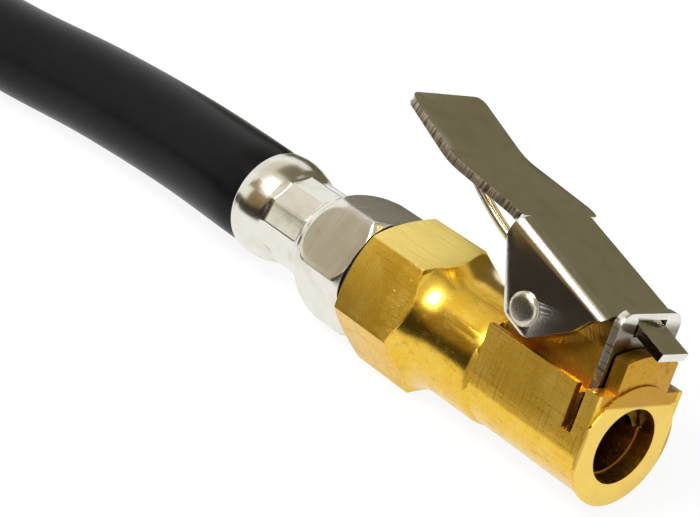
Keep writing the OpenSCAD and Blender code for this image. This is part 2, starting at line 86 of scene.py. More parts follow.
def put(points, place):
    # points in millimetres from a piece's own frame to the part's
    m = np.array(place)
    return points @ m[:3, :3].T + m[:3, 3]


def makeMesh(name, points, faces, sharpAngle=35):
    # points in millimetres; doubles are merged, faces turned outwards, edges past sharpAngle kept crisp
    closest = 1e-7
    mesh = bpy.data.meshes.new(name)
    mesh.from_pydata((np.asarray(points) * mm).tolist(), [], [tuple(f) for f in faces])
    work = bmesh.new()
    work.from_mesh(mesh)
    bmesh.ops.remove_doubles(work, verts=work.verts, dist=closest)
    bmesh.ops.dissolve_degenerate(work, edges=work.edges, dist=closest)
    bmesh.ops.recalc_face_normals(work, faces=work.faces)
    work.to_mesh(mesh)
    work.free()
    mesh.shade_smooth()
    mesh.set_sharp_from_angle(angle=math.radians(sharpAngle))
    piece = bpy.data.objects.new(name, mesh)
    bpy.context.scene.collection.objects.link(piece)
    return piece


def gridFaces(rows, columns, closedRows):
    # quads between neighbouring rows of a grid whose columns always close
    i = np.arange(rows if closedRows else rows - 1)[:, None]
    k = np.arange(columns)[None, :]
    a = i * columns + k
    b = i * columns + (k + 1) % columns
    c = ((i + 1) % rows) * columns + (k + 1) % columns
    d = ((i + 1) % rows) * columns + k
    return np.stack([a, b, c, d], -1).reshape(-1, 4)


def roundProfile(corners, steps=5):
    # an outline through [x, r, radius] corners, each rounded by an arc of its radius
    out = []
    for i, (x, r, fillet) in enumerate(corners):
        p = np.array([x, r], float)
        a = np.array(corners[i - 1][:2]) - p
        b = np.array(corners[(i + 1) % len(corners)][:2]) - p
        if fillet == 0:
            out.append(p)
            continue
        a, b = a / np.linalg.norm(a), b / np.linalg.norm(b)
        half = math.acos(np.clip(a @ b, -1, 1)) / 2
        middle = p + (a + b) / np.linalg.norm(a + b) * fillet / math.sin(half)
        start, end = p + a * fillet / math.tan(half) - middle, p + b * fillet / math.tan(half) - middle
        begin = math.atan2(start[1], start[0])
        sweep = (math.atan2(end[1], end[0]) - begin + 3 * math.pi) % (2 * math.pi) - math.pi
        turn = begin + sweep * np.linspace(0, 1, steps + 1)
        out.extend(middle + fillet * np.stack([np.cos(turn), np.sin(turn)], -1))
    return np.array(out)


def cutLong(outline, step):
    # a closed outline whose sides are cut into lengths of about step
    out = []
    for a, b in zip(outline, np.roll(outline, -1, axis=0)):
        parts = max(1, int(math.ceil(np.linalg.norm(b - a) / step)))
        out.extend(a + (b - a) * t / parts for t in range(parts))
    return np.array(out)


def turnedPiece(name, corners, place, shape=None, step=1.0, columns=128):
    # a closed outline of [x, r, fillet] corners turned about the x axis of place: the point at
    # station x and angle t is (x, r cos t, r sin t), and shape(x, t, r) may change its radius
    outline = cutLong(roundProfile(corners), step)
    angle = np.linspace(0, 2 * np.pi, columns, endpoint=False)
    x, r = outline[:, :1], outline[:, 1:] + 0 * angle
    r = shape(x, angle, r) if shape else r
    points = np.stack([x + 0 * r, r * np.cos(angle), r * np.sin(angle)], -1).reshape(-1, 3)
    return makeMesh(name, put(points, place), gridFaces(len(outline), columns, True))


def softMin(a, b, blend):
    # the lower of two values, with the corner between them rounded over a width of blend
    return np.minimum(a, b) - blend * np.log1p(np.exp(-np.abs(a - b) / blend))


def softStep(x, low, high):
    # from 0 at low to 1 at high, level at both
    t = np.clip((x - low) / (high - low), 0, 1)
    return t * t * (3 - 2 * t)


def smoothPath(points, spacing):
    # a curve through the points whose direction at each follows its two neighbours
    p = np.asarray(points, float)
    length = np.linalg.norm(np.diff(p, axis=0), axis=1)
    station = np.concatenate([[0], np.cumsum(length)])
    slope = np.gradient(p, station, axis=0)
    wanted = np.linspace(0, station[-1], max(2, int(round(station[-1] / spacing)) + 1))
    i = np.clip(np.searchsorted(station, wanted, "right") - 1, 0, len(p) - 2)
    span = length[i][:, None]
    t = ((wanted - station[i]) / length[i])[:, None]
    return ((2 * t**3 - 3 * t**2 + 1) * p[i] + (t**3 - 2 * t**2 + t) * span * slope[i]
            + (3 * t**2 - 2 * t**3) * p[i + 1] + (t**3 - t**2) * span * slope[i + 1])


def tube(name, path, radii, sides, side):
    # rings of the given radii round a path, square to it, with closed ends; side is any direction
    # that the path never takes
    along = np.gradient(path, axis=0)
    along /= np.linalg.norm(along, axis=1)[:, None]
    u = np.cross(np.broadcast_to(np.asarray(side, float), along.shape), along)
    u /= np.linalg.norm(u, axis=1)[:, None]
    v = np.cross(along, u)
    angle = np.linspace(0, 2 * np.pi, sides, endpoint=False)
    ring = np.cos(angle)[None, :, None] * u[:, None] + np.sin(angle)[None, :, None] * v[:, None]
    points = (path[:, None] + np.asarray(radii, float)[:, None, None] * ring).reshape(-1, 3)
    last = (len(path) - 1) * sides
    faces = [list(f) for f in gridFaces(len(path), sides, False)]
    faces += [list(range(sides)), list(range(last, last + sides))]
    return makeMesh(name, points, faces, 50)


def dress(piece, body, finish, slotName, *nodes):
    piece.data.materials.clear()
    piece.data.materials.append(finish)
    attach(piece, body)
    if nodes:
        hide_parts(*nodes)
    return piece


class Level:
    # a number that varies over a surface: sums written on it become Math nodes
    def __init__(self, nodes, socket):
        self.nodes, self.socket = nodes, socket

    def sum(self, operation, *terms):
        return self.nodes.node("ShaderNodeMath", {"operation": operation}, dict(enumerate(terms)))

    def __add__(self, other):
        return self.sum("ADD", self, other)

    def __sub__(self, other):
        return self.sum("SUBTRACT", self, other)

    def __rsub__(self, other):
        return self.sum("SUBTRACT", other, self)

    def __mul__(self, other):
        return self.sum("MULTIPLY", self, other)

    def __pow__(self, other):
        return self.sum("POWER", self, other)

    def __abs__(self):
        return self.sum("ABSOLUTE", self)

    __radd__ = __add__
    __rmul__ = __mul__


class Nodes:
    # the nodes of one material or world
    def __init__(self, owner):
        owner.use_nodes = True
        self.owner, self.tree = owner, owner.node_tree
        self.coordinates = None

    def node(self, kind, settings, sockets, output=0):
        made = self.tree.nodes.new(kind)
        for name, value in settings.items():
            setattr(made, name, value)
        for key, value in sockets.items():
            self.feed(made.inputs[key], value)
        return Level(self, made.outputs[output])

    def feed(self, socket, value):
        if isinstance(value, Level):
            self.tree.links.new(value.socket, socket)
        elif isinstance(value, tuple) and len(value) != len(socket.default_value):
            socket.default_value = (*value, 1)
        else:
            socket.default_value = value

    def place(self, unit=(1, 1, 1), origin=(0, 0, 0), turn=None):
        # object coordinates from an origin, along turned axes, in units given in millimetres
        if self.coordinates is None:
            self.coordinates = self.node("ShaderNodeTexCoord", {}, {}, "Object")
        angles = tuple(turn.to_euler()) if turn else (0, 0, 0)
        return self.node("ShaderNodeMapping", {"vector_type": "TEXTURE"},
                         {"Vector": self.coordinates, "Location": tuple(v * mm for v in origin),
                          "Rotation": angles, "Scale": tuple(v * mm for v in unit)})

    def split(self, vector):
        parts = self.node("ShaderNodeSeparateXYZ", {}, {"Vector": vector})
        return [Level(self, s) for s in parts.socket.node.outputs]

    def noise(self, unit, turn=None, detail=2.0, rough=0.5, origin=(0, 0, 0)):
        # cloud of numbers about 0.5 whose grain is unit millimetres along each axis
        return self.node("ShaderNodeTexNoise", {},
                         {"Vector": self.place(unit, origin, turn), "Scale": 1.0,
                          "Detail": detail, "Roughness": rough})

    def rise(self, level, low, high):
        # from 0 at low to 1 at high, level at both; low may be the higher of the two
        return self.node("ShaderNodeMapRange", {"interpolation_type": "SMOOTHSTEP"},
                         {"Value": level, "From Min": low, "From Max": high})

    def highest(self, a, *others):
        for b in others:
            a = a.sum("MAXIMUM", a, b)
        return a

    def mix(self, share, low, high):
        # the first colour where share is 0, the second where it is 1
        return self.node("ShaderNodeMix", {"data_type": "RGBA"}, {0: share, 6: low, 7: high}, 2)

    def finish(self, color, roughness, metallic=1.0, height=None, specular=0.5):
        # height is in millimetres
        shader = self.tree.nodes["Principled BSDF"]
        for name, value in (("Base Color", color), ("Roughness", roughness),
                            ("Metallic", metallic), ("Specular IOR Level", specular)):
            self.feed(shader.inputs[name], value)
        if height:
            bump = self.node("ShaderNodeBump", {}, {"Height": height, "Distance": mm})
            self.tree.links.new(bump.socket, shader.inputs["Normal"])
        return self.owner


def newFinish(name):
    return Nodes(bpy.data.materials.new(name))


brassTone = {"bright": (1.0, 0.79, 0.22), "pale": (0.94, 0.70, 0.18), "deep": (0.84, 0.53, 0.055),
             "orange": (0.70, 0.36, 0.03), "stainAndShade": (0.24, 0.11, 0.015)}
# where the finish of the body changes, each from and to, in millimetres: stations along the bore,
# distances from it, and heights and half widths in the turned front
brassZone = {"rear": (-17.4, -17.7), "hexSide": (7.86, 7.95), "milledAbove": (4.5, 4.9),
             "milledWithin": (6.3, 6.05), "flankOutside": (6.62, 6.75), "boreWithin": (6.7, 6.5),
             "boreBehind": (-0.01, -0.1), "boreBelow": (4.4, 4.8), "lip": (-0.1, -0.02), "cutterSlant": 52}


def machinedBrass():
    # masks of the body's zones, each 1 inside its zone, then grains, then the colours laid over each other
    m = newFinish("machinedBrass")
    zone = brassZone
    x, y, z = m.split(m.place())
    _, yf, zf = m.split(m.place(turn=frontTurn))
    radius = (y * y + z * z) ** 0.5
    flat = m.highest(abs(z), abs(z * 0.5 + y * 0.866), abs(z * 0.5 - y * 0.866))
    rear = m.rise(x, *zone["rear"])
    facet = m.rise(flat, *zone["hexSide"]) * rear
    topFacet = facet * m.rise(z, *zone["hexSide"])
    sideFacet = facet - topFacet
    milled = (1 - rear) * m.rise(zf, *zone["milledAbove"]) * m.rise(abs(yf), *zone["milledWithin"])
    flank = (1 - rear) * m.rise(abs(yf), *zone["flankOutside"])
    bore = (m.rise(radius, *zone["boreWithin"]) * m.rise(x, *zone["boreBehind"])
            * (1 - m.rise(zf, *zone["boreBelow"])))
    lip = m.rise(x, *zone["lip"])
    # grain: drawn streaks, cutter lines, turned rings, scratches, pits and smudges
    drawn = m.noise((12, 0.14, 0.14), detail=3)
    lines = m.noise((0.13, 5, 5), detail=3)
    rings = m.noise((0.25, 60, 60), detail=4, rough=0.7)
    ringFace = m.node("ShaderNodeTexNoise", {"noise_dimensions": "1D"},
                      {"W": radius, "Scale": 5.0, "Detail": 4.0})
    slant = Matrix.Rotation(math.radians(zone["cutterSlant"]), 4, "Z")
    hatch = (m.noise((0.16, 3, 3), frontTurn @ slant, 2)
             + m.noise((0.16, 3, 3), frontTurn @ slant.inverted(), 2))
    specks = m.noise((0.2, 0.2, 0.2), detail=2)
    clouds = m.noise((3.5, 3.5, 3.5), detail=4, rough=0.6)
    smudge = m.rise(m.noise((1.3, 0.7, 0.7), detail=4, rough=0.65, origin=(7, 3, 5)), 0.5, 0.72)
    grit = m.rise(specks, 0.60, 0.70)
    scratched = m.rise(lines, 0.52, 0.68) * (1 - topFacet) + m.rise(drawn, 0.53, 0.69)
    color = m.mix(m.rise(clouds, 0.4, 0.75) * 0.4, brassTone["deep"], brassTone["pale"])
    # the hex's top facet is painted brighter than its sides: a painted highlight
    color = m.mix(topFacet * 0.9, color, brassTone["bright"])
    color = m.mix(lip * 0.6, color, brassTone["pale"])
    color = m.mix(milled * 0.75, color, brassTone["orange"])
    color = m.mix(scratched * (0.15 + 0.3 * flank + 0.25 * facet), color, brassTone["orange"])
    # laid over as the darkest tone: the first and third shares are smudges, scratches and pits; the
    # second, on the flanks and the milled walls under the lever, and the fourth, in the bore, are painted
    # shade
    stainsAndShade = (smudge * (0.25 + 0.25 * milled) * (1 - lip) * (1 - topFacet),
              flank * 0.28 + milled * 0.35,
              scratched * flank * 0.22 + grit * (0.25 + 0.3 * sideFacet + 0.4 * flank),
              bore * 0.55)
    for share in stainsAndShade:
        color = m.mix(share, color, brassTone["stainAndShade"])
    rough = (0.17 + 0.08 * clouds + 0.1 * smudge + facet * (0.06 + 0.12 * lines)
             + flank * (0.2 + 0.15 * drawn) + milled * 0.14 + bore * 0.05 + lip * 0.12)
    height = ((drawn * 0.03) * topFacet + (lines * 0.03 + drawn * 0.012) * sideFacet
              + rings * 0.004 * (rear - facet) + flank * (drawn * 0.02 + lines * 0.02)
              + hatch * 0.035 * milled + ringFace * 0.02 * lip + rings * 0.02 * bore
              - grit * (facet + flank) * 0.006)
    return m.finish(color, rough, height=height)


def plainMetal(name, tone, dark, rough, grain, streak=0.004, cloud=2.5, peel=0.0, sheared=None):
    # plated or drawn metal: streaks along its grain, faint clouds, a little dirt and orange peel;
    # sheared gives a sheet's cut edges, which are rough, darker and ticked, its dirt and painted shade,
    # and its wrinkles
    m = newFinish(name)
    streaks = m.noise(*grain, detail=3)
    clouds = m.noise((cloud, cloud, cloud), detail=4)
    specks = m.noise((0.25, 0.25, 0.25), detail=2)
    color = m.mix(m.rise(clouds, 0.4, 0.75) * 0.35 + m.rise(specks, 0.66, 0.76) * 0.4, tone, dark)
    level = rough + 0.1 * clouds + 0.08 * streaks
    height = streaks * streak + clouds * 0.004
    if peel:
        height = height + m.noise((0.4, 0.4, 0.4), detail=2) * peel
    if sheared:
        cut, ticks, grimeAndShade, wrinkles = sheared(m)
        color = m.mix(cut * 0.55, color, sheetCut)
        color = m.mix(m.highest(cut * m.rise(ticks, 0.48, 0.6) * 0.8, grimeAndShade), color, sheetGrimeAndShade)
        level = level + 0.2 * cut
        height = height + ticks * cut * 0.006 + wrinkles
    return m.finish(color, level, height=height)


nickelTone, nickelDark = (0.80, 0.78, 0.70), (0.55, 0.51, 0.41)
# the grime tone darkens the ticks on cut edges and the plate's sides as dirt, and the lever's nose and the
# plate's legs as painted shade
sheetCut, sheetGrimeAndShade = (0.42, 0.34, 0.23), (0.10, 0.075, 0.045)
# where the lever's and the plate's finish changes, each from and to, in millimetres
leverZone = {"taper": 0.0207, "tailSide": (6.27, 6.33), "tailBehind": (-7.0, -7.4),
             "tailEnd": (-28.75, -28.85), "noseSide": (2.02, 2.07), "noseAhead": (8.45, 8.6),
             "bendOutside": (4.4, 5.2), "bendAbove": (4.6, 5.6), "bendAhead": (-7.0, -6.0)}
plateZone = {"side": (4.8, 4.87), "shadeBelow": (13.6, 12.2)}


def leverEdges(m):
    # the tail's end and its sides, which draw in towards that end; the nose's sides are painted dark
    # as shade, and the metal wrinkles where the cheeks bend down
    zone = leverZone
    x, y, z = m.split(m.place(origin=leverPlace.translation, turn=leverTurn))
    tail = m.rise(abs(y) - zone["taper"] * x, *zone["tailSide"]) * m.rise(x, *zone["tailBehind"])
    nose = m.rise(abs(y), *zone["noseSide"]) * m.rise(x, *zone["noseAhead"])
    end = m.rise(x, *zone["tailEnd"])
    bend = (m.rise(abs(y), *zone["bendOutside"]) * m.rise(z, *zone["bendAbove"])
            * m.rise(x, *zone["bendAhead"]))
    wrinkles = m.noise((0.13, 0.35, 0.35), leverTurn, 2) * bend * 0.009
    return m.highest(tail, end), m.noise((0.14, 4, 4), leverTurn, 2), nose * 0.9, wrinkles


def plateEdges(m):
    # the plate's sides, with a little dirt, and the legs' faces, painted dark as shade down in the slot
    _, y, z = m.split(m.place(turn=frontTurn))
    side = m.rise(abs(y), *plateZone["side"])
    ticks = m.noise((4, 4, 0.2), frontTurn, 3) - 0.04
    shadeAndDirt = m.rise(z, *plateZone["shadeBelow"]) * (1 - side) * 0.8 + side * 0.3
    return side, ticks, shadeAndDirt, 0.0


def plainRubber(name, tone, rough):
    # fine grain with a little dust in clouds
    m = newFinish(name)
    grain = m.noise((0.25, 0.25, 0.25), detail=3)
    clouds = m.noise((9, 9, 9), detail=4)
    dusty = tuple(0.004 + v for v in tone)
    color = m.mix(m.rise(clouds, 0.45, 0.8) * 0.5, tone, dusty)
    return m.finish(color, rough + 0.08 * clouds, 0.0, height=grain * 0.008, specular=0.08)


def wovenCotton():
    # threads that run along the hose
    m = newFinish("wovenCotton")
    weave = m.noise((0.6, 0.25, 0.25), detail=2)
    return m.finish(m.mix(weave, (0.40, 0.37, 0.30), (0.70, 0.66, 0.57)), 0.85, 0.0, height=weave * 0.1)


finishes = {
    "brass": machinedBrass(),
    "innerBrass": plainMetal("turnedBrass", (0.80, 0.55, 0.14), (0.45, 0.26, 0.05), 0.25,
                             ((0.2, 30, 30),)),
    "sheet": plainMetal("platedSheet", nickelTone, nickelDark, 0.07, ((12, 0.25, 0.25), leverTurn),
                        0.0015, peel=0.005, sheared=leverEdges),
    "plate": plainMetal("platedPlate", nickelTone, nickelDark, 0.10, ((0.2, 4, 4), frontTurn),
                        0.003, peel=0.003, sheared=plateEdges),
    "steel": plainMetal("satinSteel", (0.66, 0.63, 0.52), (0.16, 0.17, 0.16), 0.18,
                        ((0.2, 0.2, 0.2),), cloud=1.2),
    "wire": plainMetal("springWire", (0.70, 0.66, 0.56), (0.35, 0.27, 0.18), 0.12,
                       ((3, 0.3, 0.3), leverTurn), 0.001),
    "fitting": plainMetal("platedFitting", nickelTone, nickelDark, 0.16, ((0.3, 20, 20),), peel=0.003),
    "ferrule": plainMetal("platedFerrule", nickelTone, nickelDark, 0.10, ((9, 0.35, 0.35),), 0.006),
    "hoseRubber": plainRubber("hoseRubber", (0.003, 0.003, 0.0033), 0.27),
    "ringRubber": plainRubber("ringRubber", (0.005, 0.005, 0.005), 0.35),
    "sealRubber": plainRubber("sealRubber", (0.020, 0.017, 0.014), 0.55),
    "cotton": wovenCotton()}
print("finishes made")

# route of the hose's centre line, and its three layers
hose = {"diameter": 13, "linerOut": 9, "braidOut": 10.2, "inFerrule": 6.0, "swellLength": 0.9,
        "exit": -61.2, "farExit": -33.2, "straight": 2, "spacing": 2.5, "coverSides": 96, "innerSides": 24,
        "route": [(-80, 0.5, -0.5), (-100, -0.5, -1), (-120, -3, -1.5), (-140, -4.5, -1.5),
                  (-160, -6, -1.5), (-187, -16, -1.5), (-208, -36, -1.5), (-219, -63, -1.5),
                  (-218, -92, -1.5), (-205, -118, -1.5), (-183, -137, -1.5), (-155, -145, -1.5),
                  (-125, -145, -1.5), (-95, -145, -1.5), (-65, -145, -1)]}


def makeHose():
    # three tubes on one centre line; the cover's radius grows from the ferrule's pinch to its full
    # size as 1 - exp(-distance from the end / swell length)
    _, farY, farZ = fittingPlace["far"]
    start, end = (hose["exit"], 0, 0), (hose["farExit"], farY, farZ)
    line = smoothPath([start, (start[0] - hose["straight"], 0, 0), *hose["route"],
                       (end[0] - hose["straight"], farY, farZ), end], hose["spacing"])
    steps = np.linalg.norm(np.diff(line, axis=0), axis=1)
    length = steps.sum()
    station = np.concatenate([[0], np.cumsum(steps)])
    fromEnd = np.minimum(station, station[-1] - station)
    r, pinched, up = hose["diameter"] / 2, hose["inFerrule"], (0, 0, 1)
    swell = 1 - np.exp(-fromEnd / hose["swellLength"])
    cover = tube("hoseCover", line, pinched + (r - pinched) * swell, hose["coverSides"], up)
    dress(cover, "chuck", finishes["hoseRubber"], "hose_rubber", "hose_cover")
    liner = tube("hoseLiner", line, np.full(len(line), hose["linerOut"] / 2), hose["innerSides"], up)
    dress(liner, "chuck", finishes["hoseRubber"], "hose_rubber", "hose_liner")
    braid = tube("hoseBraid", line, np.full(len(line), hose["braidOut"] / 2), hose["innerSides"], up)
    dress(braid, "chuck", finishes["cotton"], "braid_cotton", "hose_braid")
    length * mm
    (line * mm).tolist()
    print("hose made,", round(length), "mm long")


# the turned tail on each end of the hose, with its nut, spigot and stem: stations along its axis
# from the shoulder that it is screwed against, in millimetres, and radii
hoseTail = {"nutFront": -1, "nutBack": -10, "nutAcross": 14.5, "nutCorner": 8.37, "nutFace": 7.6,
            "chamfer": 0.9, "domeBack": 6.4, "domeLength": 4.0, "spigot": 8.0, "spigotRadius": 6.55,
            "tipRadius": 5.75, "tipFrom": 7.2, "relief": 6.1, "reliefTo": 0.7, "threadFrom": 0.8,
            "fadeIn": (0.75, 1.0), "fadeOut": (8.0, 7.3), "pitch": 1.337, "threadDepth": 0.8,
            "bore": 2.0, "collar": 4.6, "collarEnd": -11.4, "stem": 2.9, "stemEnd": -22, "barb": 3.4,
            "barbStarts": (-12.0, -15.1), "barbLand": 0.4, "barbLength": 3.1}


def hexRadius(angle, across, corner):
    # how far a hexagon's side lies from its axis in each direction
    return across / 2 / np.cos((angle - corner + np.pi / 6) % (np.pi / 3) - np.pi / 6 + 0 * angle)


def makeTail(name, node, place, cornerAngle):
    f = hoseTail
    corner = math.radians(cornerAngle)

    def shape(x, angle, r):
        # the nut's sides cut the turned profile; the thread is a ridge that winds round the spigot,
        # whose groove deepens and shallows once for each pitch and fades out at both ends
        flatSide = hexRadius(angle, f["nutAcross"], corner + np.pi / 6)
        winding = np.abs(((x / f["pitch"] - angle / (2 * np.pi)) % 1) * 2 - 1)
        groove = f["threadDepth"] * np.clip(1.25 - 1.5 * winding, 0, 1)
        fade = softStep(x, *f["fadeIn"]) * softStep(x, *f["fadeOut"])
        onThread = (r > f["spigotRadius"] - 0.01) * fade
        cut = np.where(x > 0.4, r - groove * onThread, softMin(r, flatSide, 0.05))
        return np.where(r > 5.5, cut, r)

    # the nut's back is a quarter of an ellipse
    dome = [(f["nutBack"] + f["domeLength"] * (1 - math.cos(t)),
             f["domeBack"] + (f["nutCorner"] - f["domeBack"]) * math.sin(t), 0)
            for t in np.linspace(0, math.pi / 2, 14)]
    barbs = []
    for start in f["barbStarts"]:
        barbs += [(start, f["barb"], 0.1), (start - f["barbLand"], f["barb"], 0.1),
                  (start - f["barbLength"], f["stem"], 0)]
    corners = [(f["spigot"], f["bore"], 0.2), (f["spigot"], f["tipRadius"], 0.1),
               (f["tipFrom"], f["spigotRadius"], 0.1), (f["threadFrom"], f["spigotRadius"], 0.1),
               (f["reliefTo"], f["relief"], 0.1), (f["nutFront"], f["relief"], 0),
               (f["nutFront"], f["nutFace"], 0.1),
               (f["nutFront"] - f["chamfer"], f["nutCorner"], 0.3), *dome[::-1],
               (f["nutBack"], f["collar"], 0), (f["collarEnd"], f["collar"], 0.2),
               (f["collarEnd"], f["stem"], 0.1), *barbs, (f["stemEnd"], f["stem"], 0.2),
               (f["stemEnd"], f["bore"], 0.2)]
    piece = turnedPiece(name, corners, place, shape, 0.12, 144)
    return dress(piece, "chuck", finishes["fitting"], "plated_fitting", node)


# the ferrule behind each nut: its neck's corners, the crimp that the dies press, and its bulge
ferrule = {"neck": [(-10, 4.71, 0), (-10, 6.4, 0.15), (-10.8, 6.35, 0.4), (-12.3, 5.9, 0.8)],
           "crimp": 5.8, "crimpFrom": -13, "crimpTo": -17.9, "dieFlat": 5.5, "dies": 12,
           "dieAngle": 122.5, "dieFront": -11.2, "frontFade": 0.9, "dieBack": -18.7, "backFade": 0.7,
           "bulge": 6.8, "bulgeFront": -20, "bulgeMiddle": -22, "bulgeReach": 4, "back": -23.4,
           "mouth": 6.05, "mouthOut": 6.72, "inner": 4.71, "innerEnd": -18}


def makeFerrule(name, node, place):
    f = ferrule

    def shape(x, angle, r):
        # dies press hollow flats into the ferrule, which end sharply at the bulge
        turn = np.pi / f["dies"]
        off = (angle - math.radians(f["dieAngle"]) + turn) % (2 * turn) - turn
        press = (softStep(x, f["dieBack"], f["dieBack"] + f["backFade"])
                 * softStep(x, f["dieFront"], f["dieFront"] - f["frontFade"]))
        flatSide = f["dieFlat"] / np.cos(off) + 0.05 * (off / turn) ** 2
        return np.where(r > f["dieFlat"] + 0.02, r + (softMin(r, flatSide, 0.03) - r) * press, r)

    # the bulge rises along a parabola
    swell = [(f["bulgeMiddle"] - f["bulgeReach"] * u, f["bulge"] - (f["bulge"] - f["crimp"]) * u * u, 0)
             for u in np.linspace(-1, 0, 9)]
    corners = [*f["neck"], (f["crimpFrom"], f["crimp"], 0.8), (f["crimpTo"], f["crimp"], 0),
               *[c for c in swell if c[0] < f["innerEnd"]], (f["back"], f["mouthOut"], 0.3),
               (f["back"], f["mouth"], 0.1), (f["bulgeFront"], f["mouth"], 0),
               (f["innerEnd"], f["inner"], 0)]
    piece = turnedPiece(name, corners, place, shape, 0.2, 240)
    return dress(piece, "chuck", finishes["ferrule"], "plated_ferrule", node)


sealingRing = {"back": -1, "inner": 6.6, "outer": 7.5}


def makeSealingRing(name, node, place):
    # a flat ring with rounded edges, between the nut and the shoulder
    back, inner, outer = sealingRing["back"], sealingRing["inner"], sealingRing["outer"]
    corners = [(back, inner, 0.2), (back, outer, 0.25), (0, outer, 0.25), (0, inner, 0.2)]
    return dress(turnedPiece(name, corners, place), "chuck", finishes["ringRubber"], "ring_rubber", node)


nutTurn = {"near": 47.3, "far": 60}  # direction of a corner of each nut, in degrees
farPieces = [makeFerrule("farFerrule", "far_ferrule", farPlace),
             makeTail("farTail", "far_tail", farPlace, nutTurn["far"]),
             makeSealingRing("farSealingRing", "far_sealing_ring", farPlace)]
makeHose()
makeFerrule("crimpFerrule", "crimp_ferrule", nearPlace)
makeTail("hoseTail", "hose_tail", nearPlace, nutTurn["near"])
makeSealingRing("sealingRing", "sealing_ring", nearPlace)
print("fittings made")

# pieces that keep their solid's shape, each with the width that its edges are eased by
polished = {"chuck_body": 0.12, "lever": 0.26, "clamp_plate": 0.18, "depressor": 0.1, "seal_retainer": 0.1}
easing = {"join": 2e-6, "flatWithin": 0.6, "sharpAngle": 30, "segments": 3}


def polish(node, body, finishName, slotName):
    # a copy of a CAD piece with its loose triangles joined and its edges eased
    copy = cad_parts[node].data.copy()
    work = bmesh.new()
    work.from_mesh(copy)
    bmesh.ops.remove_doubles(work, verts=work.verts, dist=easing["join"])
    bmesh.ops.dissolve_limit(work, angle_limit=math.radians(easing["flatWithin"]), verts=work.verts,
                             edges=work.edges)
    work.to_mesh(copy)
    work.free()
    copy.shade_smooth()
    piece = bpy.data.objects.new(node + "Surface", copy)
    bpy.context.scene.collection.objects.link(piece)
    bevel = piece.modifiers.new("edge", "BEVEL")
    bevel.width, bevel.segments = polished[node] * mm, easing["segments"]
    bevel.limit_method, bevel.angle_limit = "ANGLE", math.radians(easing["sharpAngle"])
    bevel.use_clamp_overlap, bevel.harden_normals, bevel.miter_outer = True, True, "MITER_ARC"
    return dress(piece, body, finishes[finishName], slotName, node)


polish("chuck_body", "chuck", "brass", "brass_body")
polish("lever", "lever", "sheet", "plated_sheet")
polish("clamp_plate", "clamp", "plate", "plated_plate")
polish("depressor", "chuck", "innerBrass", "inner_brass")
polish("seal_retainer", "chuck", "innerBrass", "inner_brass")

# radius and thickness of the rivet's two heads; the crown falls by a little towards its rim
rivet = {"shank": 1.4, "halfWidth": 6.2, "head": (1.9, 0.65), "formed": (1.9, 0.7),
         "crownFall": 0.1, "crownInset": 0.4, "rimDrop": 0.38}


def makeRivet():
    # turned about the hinge: the factory head is towards -y of the lever's frame
    place = leverPlace @ Matrix.Rotation(math.radians(-90), 4, "Z")
    half, (headR, headT), (formedR, formedT) = rivet["halfWidth"], rivet["head"], rivet["formed"]
    crown = [(half + headT - rivet["crownFall"] * u * u, (headR - rivet["crownInset"]) * u, 0)
             for u in np.linspace(0, 1, 7)]
    corners = [(-half - formedT, 0, 0), (-half - formedT, formedR, 0.45), (-half, formedR, 0.1),
               (-half, rivet["shank"], 0), (half, rivet["shank"], 0), (half, headR, 0.05),
               (half + headT - rivet["rimDrop"], headR, 0.25), *crown[::-1]]
    piece = turnedPiece("pivotRivet", corners, place, None, 0.5, 64)
    dress(piece, "lever", finishes["steel"], "steel_rivet", "pivot_rivet")


makeRivet()

seal = {"front": -11.5, "thickness": 4.0, "outer": 4.85, "hole": 2.2, "groove": (3.6, 3.3, 2.7),
        "grooveDepth": 0.35}


def makeSeal():
    # a washer with a shallow groove in its front, where the valve's mouth presses
    front, back = seal["front"], seal["front"] - seal["thickness"]
    rim, outside, inside = seal["groove"]
    corners = [(back, seal["hole"], 0.2), (back, seal["outer"], 0.2), (front, seal["outer"], 0.2),
               (front, rim, 0.1), (front - seal["grooveDepth"], outside, 0.2),
               (front - seal["grooveDepth"], inside, 0.2), (front, seal["hole"], 0.25)]
    piece = turnedPiece("valveSeal", corners, Matrix(), None, 0.5, 96)
    dress(piece, "chuck", finishes["sealRubber"], "seal_rubber", "valve_seal")


makeSeal()

# the spring's coil from and to its angles in degrees, its lower leg along the slot's floor in the
# front's frame, and the points of its upper leg under the tail in the lever's
spring = {"wire": 1.2, "coil": 2.12, "pitch": 1.62, "from": 270, "to": 1160, "angleStep": 15,
          "lowerLeg": (2.9, 1.4), "floor": 6.75, "spacing": 0.25, "sides": 24, "blendHalf": 2.2,
          "upperLeg": [(-5, -1.8, 1.5), (-7.6, -1.7, 1.5), (-10.2, -1.65, 1.5), (-13.17, -1.65, 1.81),
                       (-16.13, -1.65, 2.37), (-19.1, -1.65, 3.1), (-21.8, -1.65, 3.43)]}


def makeSpring():
    # a coil round the rivet, one leg back along the slot and one under the lever's tail
    turns = np.radians(np.arange(spring["from"], spring["to"] + 1, spring["angleStep"]))
    width = spring["pitch"] * (spring["to"] - spring["from"]) / 360
    rx, _, rz = front["rivet"]
    coil = np.stack([rx + spring["coil"] * np.cos(turns),
                     width * (0.5 - (turns - turns[0]) / (turns[-1] - turns[0])),
                     rz + spring["coil"] * np.sin(turns)], -1)
    toFront = np.array(frontTurn.inverted() @ leverPlace)
    upper = put(np.array(spring["upperLeg"]), toFront)
    lower = [(rx - along, width / 2, spring["floor"]) for along in spring["lowerLeg"]]
    path = smoothPath(np.concatenate([lower, coil, upper]), spring["spacing"])
    piece = tube("leverSpring", put(path, frontTurn), np.full(len(path), spring["wire"] / 2),
                 spring["sides"], frontTurn @ Matrix.Translation((0, 1, 0)).translation)
    piece.data.materials.append(finishes["wire"])
    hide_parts("lever_spring")
    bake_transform(piece)


makeSpring()
print("pieces made")

